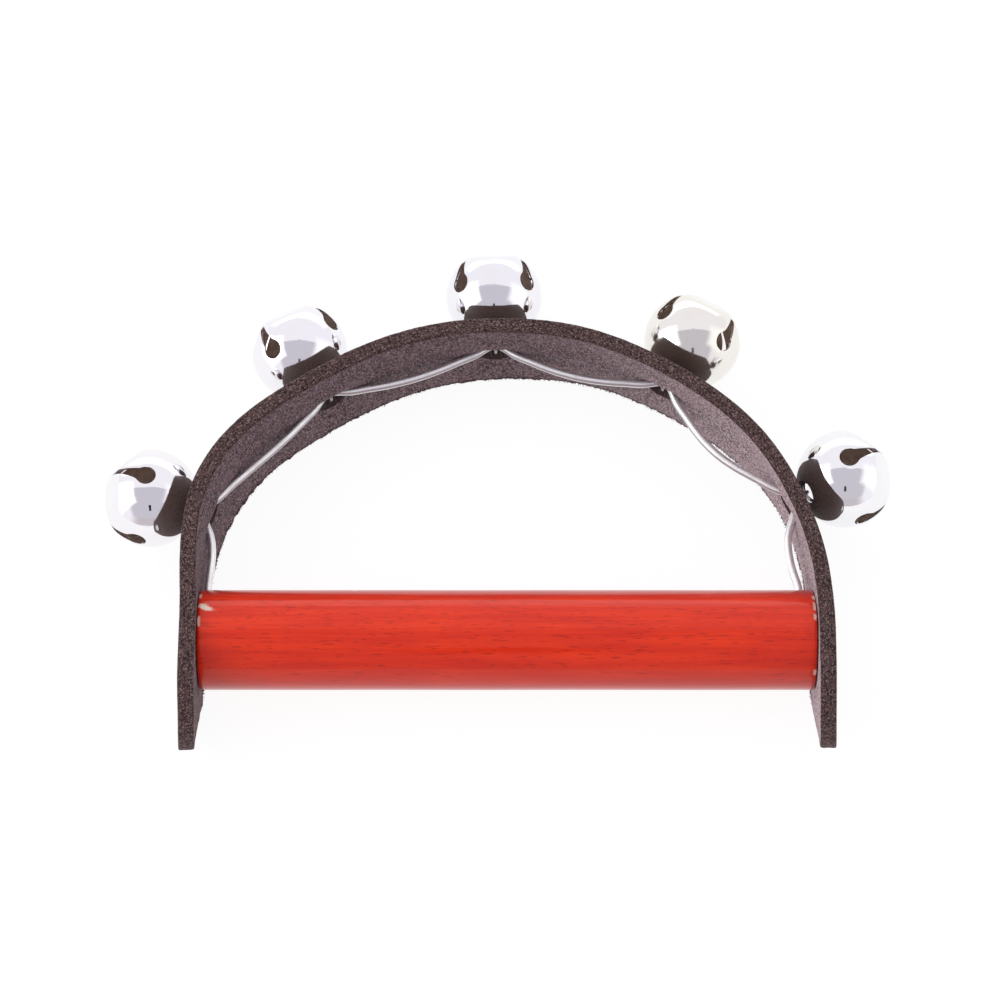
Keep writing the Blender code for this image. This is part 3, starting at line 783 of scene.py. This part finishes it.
def fastener_frame(side):
    """A frame whose Z points out of the strap's leg, its origin at the screw head's top."""
    leg = (LEFT_LEG_X if side < 0 else RIGHT_LEG_X) * MM
    reach = STRAP_THICKNESS / 2 + SCREW_PROUD
    turn = Matrix.Rotation(side * math.pi / 2, 4, "Y")
    spot = centre + Vector((leg + side * reach, 0.0, 0.0))
    return Matrix.Translation(spot) @ turn


def leg_sink_cutter(side):
    """The tapered seat that the cup washer presses into the leather."""
    room = CUP_WALL + 1.5 * GAP
    rim = SCREW_HEAD_RADIUS + GAP + room
    foot = SCREW_SHANK_RADIUS + GAP + room
    bore = SCREW_SHANK_RADIUS + GAP
    bottom = -SCREW_HEAD_DEPTH - GAP
    profile = [
        (0.0, 1.0 * MM), (rim + 0.8 * MM, 1.0 * MM), (rim + 0.25 * MM, -SCREW_PROUD + GAP),
        (rim, -SCREW_PROUD - 0.1 * MM), (foot, bottom), (bore, bottom),
        (bore, -CLEAR), (0.0, -CLEAR)]
    return place(turned_mesh("leg_sink", profile, 48), fastener_frame(side))


# How many fibres stand on the lower edge and on the upper one.
FIBRES = ((1.0, 3000), (-1.0, 900))


def fuzz_mesh():
    """Loose fibres that stand out of the cut edges, thickest along the lower one."""
    rng = random.Random(11)
    corners, faces = [], []

    def hair(root, way, side, length, thick):
        """A curled three-sided spike."""
        base = len(corners)
        curl = rng.uniform(-0.5, 0.5) * length
        up = way.cross(side)
        for share in (0.0, 0.55):
            radius = thick * (1 - 0.45 * share)
            spot = root + way * (length * share) + side * (curl * share ** 2)
            for k in range(3):
                angle = k * 2 * math.pi / 3
                corners.append(spot + (side * math.cos(angle) + up * math.sin(angle)) * radius)
        corners.append(root + way * length + side * curl)
        faces.append((base + 2, base + 1, base))
        for k in range(3):
            m = (k + 1) % 3
            faces.append((base + k, base + m, base + 3 + m, base + 3 + k))
            faces.append((base + 3 + k, base + 3 + m, base + 6))

    straight = strap_line.length - 2 * STRAP_HALF
    for edge, count in FIBRES:
        for _ in range(count):
            distance = STRAP_HALF + rng.random() * straight
            height = rng.uniform(-0.96, 0.96) * STRAP_THICKNESS / 2
            inward = rng.uniform(-0.4, 0.4)
            across = edge * (STRAP_HALF - 0.40 * MM)
            if edge > 0 and rng.random() < 0.75:
                height = -STRAP_THICKNESS / 2 * rng.uniform(0.90, 1.0)
                across = edge * (STRAP_HALF - rng.uniform(0.5, 1.1) * MM)
                inward = rng.uniform(-3.0, -0.8)
            root, tip, beside = map(Vector, on_strap(
                distance + np.array([0.0, 0.0, 0.5 * MM]),
                across + np.array([0.0, edge * 0.4 * MM, 0.0]),
                height + np.array([0.0, inward * 0.4 * MM, 0.0])))
            way = (tip - root).normalized()
            side = (beside - root).normalized()
            way = (way + side * rng.uniform(-0.7, 0.7)).normalized()
            side = (side - way * side.dot(way)).normalized()
            length = (0.35 + rng.random() ** 2 * 0.55) * MM
            if way.z < 0:
                length = min(length, (root.z - cad_low.z) / -way.z)
            hair(root, way, side, length, rng.uniform(0.03, 0.075) * MM)
    return mesh_from_arrays("strap_fuzz", corners, faces)


def build_strap():
    cutters = [bell_hole_cutter(station) for station in bell_stations]
    cutters += [leg_sink_cutter(side) for side in (-1, 1)]
    mesh = cut_mesh(leather_mesh(), cutters, "strap_leather", 55.0)
    add_piece("strap_leather", mesh, "strap", leather_material())
    add_piece("strap_fuzz", fuzz_mesh(), material=fuzz_material())


# --- Handle and wire ---

def handle_mesh():
    """The dowel: rounded ends and a slightly uneven lacquer skin; build_handle cuts its wire
    holes.
    """
    length = handle_right - handle_left
    sides, rings = 144, 150
    stations = [x * MM for x in (0.0, 0.02, 0.10, 0.25, 0.45, 0.7)]
    inner = np.linspace(HANDLE_EDGE_ROUND, length - HANDLE_EDGE_ROUND, rings)[1:-1]
    stations = stations + list(inner) + [length - x for x in reversed(stations)]
    shape = bmesh.new()
    loops = []
    for x in stations:
        from_end = min(x, length - x)
        drop = max(0.0, 1 - from_end / HANDLE_EDGE_ROUND)
        radius = HANDLE_RADIUS - HANDLE_EDGE_ROUND * (1 - math.sqrt(1 - drop ** 2))
        loop = []
        for k in range(sides):
            angle = 2 * math.pi * k / sides
            spot = Vector((x / MM * 0.05, 2.0 * math.cos(angle), 2.0 * math.sin(angle)))
            uneven = 0.035 * MM * noise.noise(spot) if from_end > HANDLE_EDGE_ROUND else 0.0
            y, z = (radius + uneven) * math.cos(angle), (radius + uneven) * math.sin(angle)
            loop.append(shape.verts.new((handle_left + x, y, z)))
        loops.append(loop)
    for first, second in zip(loops, loops[1:]):
        for k in range(sides):
            m = (k + 1) % sides
            shape.faces.new((first[k], second[k], second[m], first[m]))
    shape.faces.new(loops[0])
    shape.faces.new(list(reversed(loops[-1])))
    bmesh.ops.recalc_face_normals(shape, faces=shape.faces)
    mesh = mesh_of("handle_dowel", shape)
    for corner in mesh.vertices:
        if corner.co.x < handle_left + HANDLE_EDGE_ROUND:
            corner.co.x -= END_REACH
        elif corner.co.x > handle_right - HANDLE_EDGE_ROUND:
            corner.co.x += END_REACH
    return place(mesh, Matrix.Translation(centre))


# Small chips in the lacquer: X along the handle and turn round it, in millimetres and
# degrees up from the side away from the arch, and half their length and width.
CHIPS = (
    (-66.6, 113.0, 1.1, 0.55), (-65.4, 108.0, 1.3, 0.45), (-67.2, 132.0, 0.35, 0.9),
    (-67.2, 92.0, 0.3, 1.2), (66.8, 128.0, 0.3, 0.8), (66.8, 112.0, 0.3, 1.2),
    (66.8, 98.0, 0.3, 0.6), (-34.0, 150.0, 0.5, 0.35), (66.9, 30.0, 0.25, 0.7),
)


def bare_wood(mesh):
    """How far the lacquer is chipped away, and how high each corner of the handle lies towards
    the lit side, for the painted shade.
    """
    values = []
    heights = []
    for corner in mesh.vertices:
        local = (corner.co - centre) / MM
        # How far each corner lies towards the lit side, which steers the lacquer's painted
        # shade.
        heights.append(local.dot(LIT_SIDE) * MM / HANDLE_RADIUS)
        turn = math.degrees(math.atan2(local.z, -local.y))
        worn = 0.0
        for x, angle, half_length, half_width in CHIPS:
            arc = math.radians(turn - angle) * HANDLE_RADIUS / MM
            away = ((local.x - x) / half_length) ** 2 + (arc / half_width) ** 2
            rough_edge = 0.6 * noise.noise(local * 2.3)
            worn = max(worn, float(rounded(1.25 + rough_edge - away, 0.0, 0.5)))
        values.append(worn)
    store(mesh, "bare", values)
    store(mesh, "painted_lacquer_shade", heights)


def build_handle():
    channel = placed_route(400)
    bores = [
        tube_mesh("wire_bore", part, WIRE_RADIUS + 0.25 * MM, 16)
        for part in (channel[:24], channel[-24:])]
    bore = SCREW_SHANK_RADIUS + GAP
    profile = [(0.0, PILOT_DEPTH), (bore, PILOT_DEPTH), (bore, -CLEAR), (0.0, -CLEAR)]
    for end, way in ((handle_left, 1), (handle_right, -1)):
        turn = Matrix.Rotation(way * math.pi / 2, 4, "Y")
        spot = Matrix.Translation(centre + Vector((end, 0.0, 0.0)))
        bores.append(place(turned_mesh("pilot", profile, 24), spot @ turn))
    mesh = cut_mesh(handle_mesh(), bores, "handle_dowel", 40.0)
    bare_wood(mesh)
    add_piece("handle_dowel", mesh, "handle", lacquer_material())


def build_wire():
    mesh = tube_mesh("threading_wire", placed_route(420), 1.05 * WIRE_RADIUS, 24)
    # Painted shade: marks the wire darker on the side away from the lit side, easing off into a
    # painted lighter rim at the very bottom.
    low = -np.array([side.vector.dot(LIT_SIDE) for side in mesh.vertex_normals])
    store(mesh, "painted_wire_shade", rounded(low, 0.0, 0.35) * (1 - 0.7 * rounded(low, 0.65, 0.92)))
    satin = drawn_wire_material("satin_wire", (1.0, 1.0, 1.0), 1.0)
    add_piece("threading_wire", mesh, "wire", satin)


# --- Bells ---

PETAL_POLAR = math.radians(38.0)
PETAL_DEPTH = 0.875
CROWN_DEPTH = 0.92
CREASE_SHARPNESS = 32.0
PETAL_COLUMNS = 34
CURL_WIDTH = 0.35 * MM
CURL_DEPTH = 0.10 * MM


def bell_surface(polar, turn):
    """Distance from the bell's centre: a sphere with four flat petals and a flat crown."""
    cosines = [np.cos(polar) / CROWN_DEPTH]
    for k in range(4):
        middle = math.pi / 4 + k * math.pi / 2
        facing = np.cos(polar) * math.cos(PETAL_POLAR)
        facing = facing + np.sin(polar) * math.sin(PETAL_POLAR) * np.cos(turn - middle)
        cosines.append(facing / PETAL_DEPTH)
    total = 1.0
    for value in cosines:
        total = total + np.clip(value, 0.0, None) ** CREASE_SHARPNESS
    return BELL_RADIUS * total ** (-1 / CREASE_SHARPNESS)


def slot_half_width(height):
    """Half the width of a keyhole slot at a height above the bell's waist."""
    round_part = np.sqrt(np.clip(
        SLOT_HOLE_RADIUS ** 2 - (height - SLOT_HOLE_HEIGHT) ** 2, 0.0, None))
    foot = SLOT_HOLE_HEIGHT + math.sqrt(SLOT_HOLE_RADIUS ** 2 - SLOT_FOOT_HALF ** 2)
    share = np.clip((height - foot) / (BELL_RADIUS - foot), 0.0, 1.0)
    slit = SLOT_TIP_HALF + (SLOT_FOOT_HALF - SLOT_TIP_HALF) * (1 - share) ** SLOT_TAPER
    slit = np.where(height > SLOT_HOLE_HEIGHT, slit, 0.0)
    softness = 0.22 * MM
    both = softness * np.logaddexp(round_part / softness, slit / softness)
    return np.where(height > SLOT_HOLE_HEIGHT, both, round_part)


def shell_rows():
    """Polar angles from the petals' tips to the hole in the base, closest at the slots."""
    lowest = SLOT_HOLE_HEIGHT - SLOT_HOLE_RADIUS
    foot = SLOT_HOLE_HEIGHT + 0.9 * SLOT_HOLE_RADIUS
    slit = np.linspace(math.radians(4.0), math.acos(foot / BELL_RADIUS), 26)
    swing = np.linspace(math.acos(-0.9), 0.0, 22)
    heights = SLOT_HOLE_HEIGHT - SLOT_HOLE_RADIUS * np.cos(swing)
    hole = np.arccos(heights / BELL_RADIUS)
    base = math.pi - math.asin(BASE_HOLE_RADIUS / BELL_RADIUS)
    below = np.linspace(math.acos(lowest / BELL_RADIUS), base, 22)
    return np.concatenate((slit[:-1], hole, below[1:])), len(slit) - 1 + len(hole)


def shell_mesh(outside, inside):
    """Four petals between the keyhole slots, joined below them, with rolled rims."""
    rows, last_slot_row = shell_rows()
    shares = (1 - np.cos(np.linspace(0.0, math.pi, PETAL_COLUMNS + 1))) / 2
    shares = 0.55 * shares + 0.45 * np.linspace(0.0, 1.0, PETAL_COLUMNS + 1)
    shape = bmesh.new()
    for quarter in range(4):
        grid = []
        for number, polar in enumerate(rows):
            ridge = float(bell_surface(polar, 0.0))
            half = slot_half_width(ridge * math.cos(polar))
            if number >= last_slot_row - 1:
                half = 0.0
            ring = ridge * math.sin(polar)
            inset = min(math.asin(min(0.999, half / ring)), math.radians(44.0))
            turns = inset + shares * (math.pi / 2 - 2 * inset) + quarter * math.pi / 2
            radii = bell_surface(polar, turns)
            if half > 0:
                for edge_turn in (turns[0], turns[-1]):
                    away = (turns - edge_turn) * ring / CURL_WIDTH
                    radii = radii - CURL_DEPTH * np.exp(-away ** 2)
            wide = radii * math.sin(polar)
            grid.append([shape.verts.new(spot) for spot in zip(
                wide * np.cos(turns), wide * np.sin(turns), radii * math.cos(polar))])
        for first, second in zip(grid, grid[1:]):
            for a, b, c, d in zip(first, second, second[1:], first[1:]):
                shape.faces.new((a, b, c, d))
    join_up(shape)
    top = max(shape.faces, key=lambda side: side.calc_center_median().length)
    if top.normal.dot(top.calc_center_median()) < 0:
        bmesh.ops.reverse_faces(shape, faces=shape.faces)
    mesh = mesh_of("shell", shape)
    blank = link("shell_blank", mesh, outside)
    mesh.materials.append(inside)
    sheet = blank.modifiers.new("sheet", "SOLIDIFY")
    sheet.thickness = BELL_SHEET
    sheet.material_offset = 1
    rim = blank.modifiers.new("rim", "BEVEL")
    rim.width = 0.13 * MM
    rim.segments = 3
    rim.limit_method = "ANGLE"
    rim.angle_limit = math.radians(50.0)
    result = baked(blank)
    shade_round(result)
    return result


def eye_mesh():
    """A staple hooked round the wire, with its legs spread inside the shell."""
    ring = EYE_INNER_RADIUS + EYE_WIRE_RADIUS
    neck = BASE_HOLE_RADIUS - GAP - EYE_WIRE_RADIUS
    leg = [
        (ring, 0.0), (neck + 0.05 * MM, 0.8 * MM), (neck, 1.5 * MM), (neck, 2.7 * MM),
        (neck + 0.3 * MM, 3.5 * MM), (neck + 0.9 * MM, 3.8 * MM), (neck + 1.8 * MM, 4.0 * MM)]
    angles = [math.pi + i * math.pi / 8 for i in range(1, 8)]
    bow = [(ring * math.cos(angle), ring * math.sin(angle)) for angle in angles]
    left = [(-y, z) for y, z in reversed(leg)]
    path = SmoothPath(left + bow + leg)
    spots = path.point(np.linspace(0.0, path.length, 70))
    return tube_mesh("bell_eye", [(0.0, y, z) for y, z in spots], EYE_WIRE_RADIUS, 14)


def pellet_mesh(seed):
    """A steel ball with the shallow knocks of use."""
    shape = bmesh.new()
    bmesh.ops.create_icosphere(shape, subdivisions=4, radius=PELLET_RADIUS)
    for corner in shape.verts:
        dent = noise.noise(corner.co * 0.9 / MM + Vector((seed, 0.0, 0.0)))
        corner.co *= 1 - 0.006 * max(0.0, dent)
    mesh = mesh_of("pellet", shape)
    mesh.shade_smooth()
    return mesh


def bell_frame(number):
    """The bell's own frame, from its hinge: X along the wire, Z along the bell's axis."""
    hinge = JOINTS["bell_rock_%d" % number]
    along = Vector(hinge["axis"])
    out = Vector((-along.y, along.x, 0.0))
    axis = out * math.cos(BELL_DROOP) - Vector((0.0, 0.0, 1.0)) * math.sin(BELL_DROOP)
    return frame_of(along, axis.cross(along), axis, Vector(hinge["pos_m"]))


# Each bell's plating: its tint and how worn it is.
PLATINGS = (
    ((0.90, 0.885, 0.915), 0.0), ((0.90, 0.885, 0.92), 0.05), ((0.89, 0.88, 0.92), 0.0),
    ((0.870, 0.845, 0.805), 0.8), ((0.90, 0.89, 0.915), 0.0),
)


def build_bells():
    inside = inside_material()
    staple = drawn_wire_material("eye_wire", (0.36, 0.34, 0.33), 2.0)
    ball = ball_material()
    for number, (turn, (tint, wear)) in enumerate(zip(SLOT_TURNS, PLATINGS), 1):
        outside = nickel_material("nickel_plate_%d" % number, tint, wear)
        own = bell_frame(number)
        middle = own @ Matrix.Translation((0.0, 0.0, BELL_REACH))
        spin = Matrix.Rotation(turn, 4, "Z")
        shell = place(shell_mesh(outside, inside), middle @ spin)
        rest = middle.translation - Vector((0.0, 0.0, PELLET_DROP))
        pellet = place(pellet_mesh(float(number)), Matrix.Translation(rest))
        eye = place(eye_mesh(), own)
        for kind, mesh, slot, node, material, body in (
                ("shell", shell, "nickel_plate", "bell_shell", None, "bell"),
                ("eye", eye, "plated_steel", "bell_eye", staple, "bell"),
                ("ball", pellet, "ball_steel", "pellet", ball, "ball")):
            add_piece(
                "bell_%d_%s" % (number, kind), mesh, "%s_%d" % (node, number),
                material, "%s_%d" % (body, number))


# --- Screws and cup washers ---

def screw_mesh():
    """A countersunk wood screw with a domed rim, a cross recess and a cut thread."""
    neck = -SCREW_HEAD_DEPTH
    tip = -SCREW_LENGTH
    profile = [
        (0.0, 0.05 * MM), (SCREW_HEAD_RADIUS - 0.5 * MM, 0.03 * MM),
        (SCREW_HEAD_RADIUS - 0.12 * MM, -0.02 * MM), (SCREW_HEAD_RADIUS, -0.12 * MM),
        (SCREW_HEAD_RADIUS, -0.3 * MM), (SCREW_SHANK_RADIUS, neck),
        (SCREW_SHANK_RADIUS, neck - 5.0 * MM)]
    pitch = 1.2 * MM
    thread_root = SCREW_SHANK_RADIUS - 0.45 * MM
    z = neck - 5.2 * MM
    while z > tip + 3.0 * MM:
        profile += [
            (thread_root, z), (thread_root, z - 0.35 * pitch),
            (SCREW_SHANK_RADIUS, z - 0.62 * pitch), (thread_root, z - 0.9 * pitch)]
        z -= pitch
    profile += [(thread_root, tip + 2.6 * MM), (0.0, tip)]
    arms = []
    for turn in (0.2, 0.2 + math.pi / 2):
        shape = bmesh.new()
        bmesh.ops.create_cone(
            shape, cap_ends=True, segments=4, radius1=0.15 * MM, radius2=1.0 * MM,
            depth=2.2 * MM)
        stretch = Matrix.Diagonal((2.1, 0.62, 1.0, 1.0)) @ Matrix.Rotation(math.pi / 4, 4, "Z")
        lift = Matrix.Translation((0.0, 0.0, -0.25 * MM))
        spin = Matrix.Rotation(turn, 4, "Z")
        arms.append(place(mesh_of("recess", shape), lift @ spin @ stretch))
    return cut_mesh(turned_mesh("screw", profile, 64), arms, "screw", 30.0)


def washer_mesh():
    """A pressed cup: a rolled flange on the leather and a wall round the screw's head."""
    inner_rim = SCREW_HEAD_RADIUS + GAP
    inner_foot = SCREW_SHANK_RADIUS + GAP
    under = GAP - SCREW_PROUD
    top = under + WASHER_SHEET
    roll = 0.12 * MM
    profile = [
        (inner_rim, top - roll), (inner_rim + roll, top), (WASHER_RADIUS - 2 * roll, top),
        (WASHER_RADIUS - 0.5 * roll, top - 0.6 * roll), (WASHER_RADIUS, top - 1.6 * roll),
        (WASHER_RADIUS, under), (inner_rim + CUP_WALL, under),
        (inner_foot + CUP_WALL, -SCREW_HEAD_DEPTH), (inner_foot, -SCREW_HEAD_DEPTH),
        (inner_rim, -0.3 * MM), (inner_rim, top - roll)]
    return turned_mesh("cup_washer", profile, 72)


def build_fasteners():
    zinc = plated_material()
    for side, name in ((-1, "left"), (1, "right")):
        for kind, mesh in (("screw", screw_mesh()), ("cup_washer", washer_mesh())):
            place(mesh, fastener_frame(side))
            node = "%s_%s" % (kind, name)
            add_piece("%s_%s" % (name, kind), mesh, node, zinc)


# --- Studio ---

CAMERA_TILT = math.radians(22.0)
CAMERA_DISTANCE = 750.0 * MM
CAMERA_LENS = 122.73
HANDLE_RIGHT_OF_VIEW = 1.76 * MM
HANDLE_BELOW_VIEW = 30.8 * MM
WHITE = (1.0, 1.0, 1.0)


def build_camera():
    """Looks down over the handle, with the arch's top away from it."""
    ahead = Vector((0.0, math.sin(CAMERA_TILT), -math.cos(CAMERA_TILT)))
    right = Vector((1.0, 0.0, 0.0))
    up = right.cross(ahead)
    data = bpy.data.cameras.new("camera")
    data.lens = CAMERA_LENS
    data.clip_start = 0.02
    camera = link("camera", data)
    spot = centre - right * HANDLE_RIGHT_OF_VIEW + up * HANDLE_BELOW_VIEW
    camera.matrix_world = frame_of(right, up, -ahead, spot - ahead * CAMERA_DISTANCE)
    bpy.context.scene.camera = camera


def glow_material(name, colour, strength):
    """A plain glow that fades out towards the card's edges."""
    card = Recipe(name, colour, 1.0)
    glow = card.node("ShaderNodeEmission", {"Color": (*colour, 1.0), "Strength": strength})
    clear = card.node("ShaderNodeBsdfTransparent")
    fade = card.span(card.attribute("fade"), 0.0, 1.0)
    mixed = card.node(
        "ShaderNodeMixShader", {0: fade, 1: clear.outputs[0], 2: glow.outputs[0]})
    card.give(card.tree.nodes["Material Output"].inputs["Surface"], mixed.outputs[0])
    card.tree.nodes.remove(card.shader)
    return card.material


def add_card(
        name, azimuth, elevation, distance, size, colour, strength, softness, front_share=1.0):
    """A glowing studio card that faces the object and is seen only in reflections.

    Azimuth 0 is the camera's side, softness is the share of the card's half over which it
    fades at its sides and at its ends, and front_share narrows its lower edge.
    """
    turn, lift = math.radians(azimuth), math.radians(elevation)
    back = Vector((
        math.sin(turn) * math.cos(lift), -math.cos(turn) * math.cos(lift), math.sin(lift)))
    side = Vector((math.cos(turn), math.sin(turn), 0.0))
    rise = back.cross(side)
    width, height = size
    shape = bmesh.new()
    bmesh.ops.create_grid(shape, x_segments=24, y_segments=24, size=1.0)
    fades = []
    for corner in shape.verts:
        x, y = corner.co.x, corner.co.y
        fades.append(min((1 - abs(x)) / softness[0], (1 - abs(y)) / softness[1]))
        narrow = front_share + (1 - front_share) * (y + 1) / 2
        corner.co = centre + back * distance
        corner.co += side * (x * narrow * width / 2) + rise * (y * height / 2)
    mesh = mesh_of(name, shape)
    store(mesh, "fade", fades)
    card = link(name, mesh, glow_material(name, colour, strength))
    card.visible_camera = False


def build_studio():
    """A white table and tent, a dimmer room behind the camera and two white panels."""
    scene = bpy.context.scene
    scene.view_settings.view_transform = "Standard"
    world = bpy.data.worlds.new("studio")
    world.use_nodes = True
    scene.world = world
    background = world.node_tree.nodes["Background"]
    background.inputs["Color"].default_value = (0.97, 0.955, 1.0, 1.0)

    shape = bmesh.new()
    bmesh.ops.create_circle(shape, cap_ends=True, segments=96, radius=3.0)
    paper = Recipe("white_paper", (0.12, 0.12, 0.12), 0.9)
    paper.put(
        Emission_Color=(*WHITE, 1.0), Emission_Strength=0.92, Specular_IOR_Level=0.0)
    link("table", mesh_of("table", shape), paper.material)

    add_card(
        "room_behind_camera", 0.0, 58.0, 1.6, (4.5, 2.55), (0.94, 0.91, 1.0), 0.66,
        (0.35, 0.08), 0.75)
    add_card(
        "room_in_front", 0.0, 9.0, 1.6, (3.0, 0.9), (0.98, 0.90, 0.97), 0.62, (0.6, 0.4))
    add_card(
        "camera_and_stand", 0.0, 46.0, 1.0, (0.10, 0.26), (1.0, 0.9, 0.95), 0.02, (0.2, 0.2))
    add_card("left_panel", -84.0, 27.0, 1.25, (1.4, 1.5), WHITE, 2.6, (0.6, 0.6))
    add_card("right_panel", 84.0, 27.0, 1.25, (1.4, 1.5), WHITE, 1.15, (0.6, 0.6))
    add_card("bright_backdrop", 180.0, 12.0, 2.2, (5.0, 1.1), WHITE, 1.7, (0.5, 0.5))


build_strap()
build_handle()
build_wire()
build_bells()
build_fasteners()
build_studio()
build_camera()
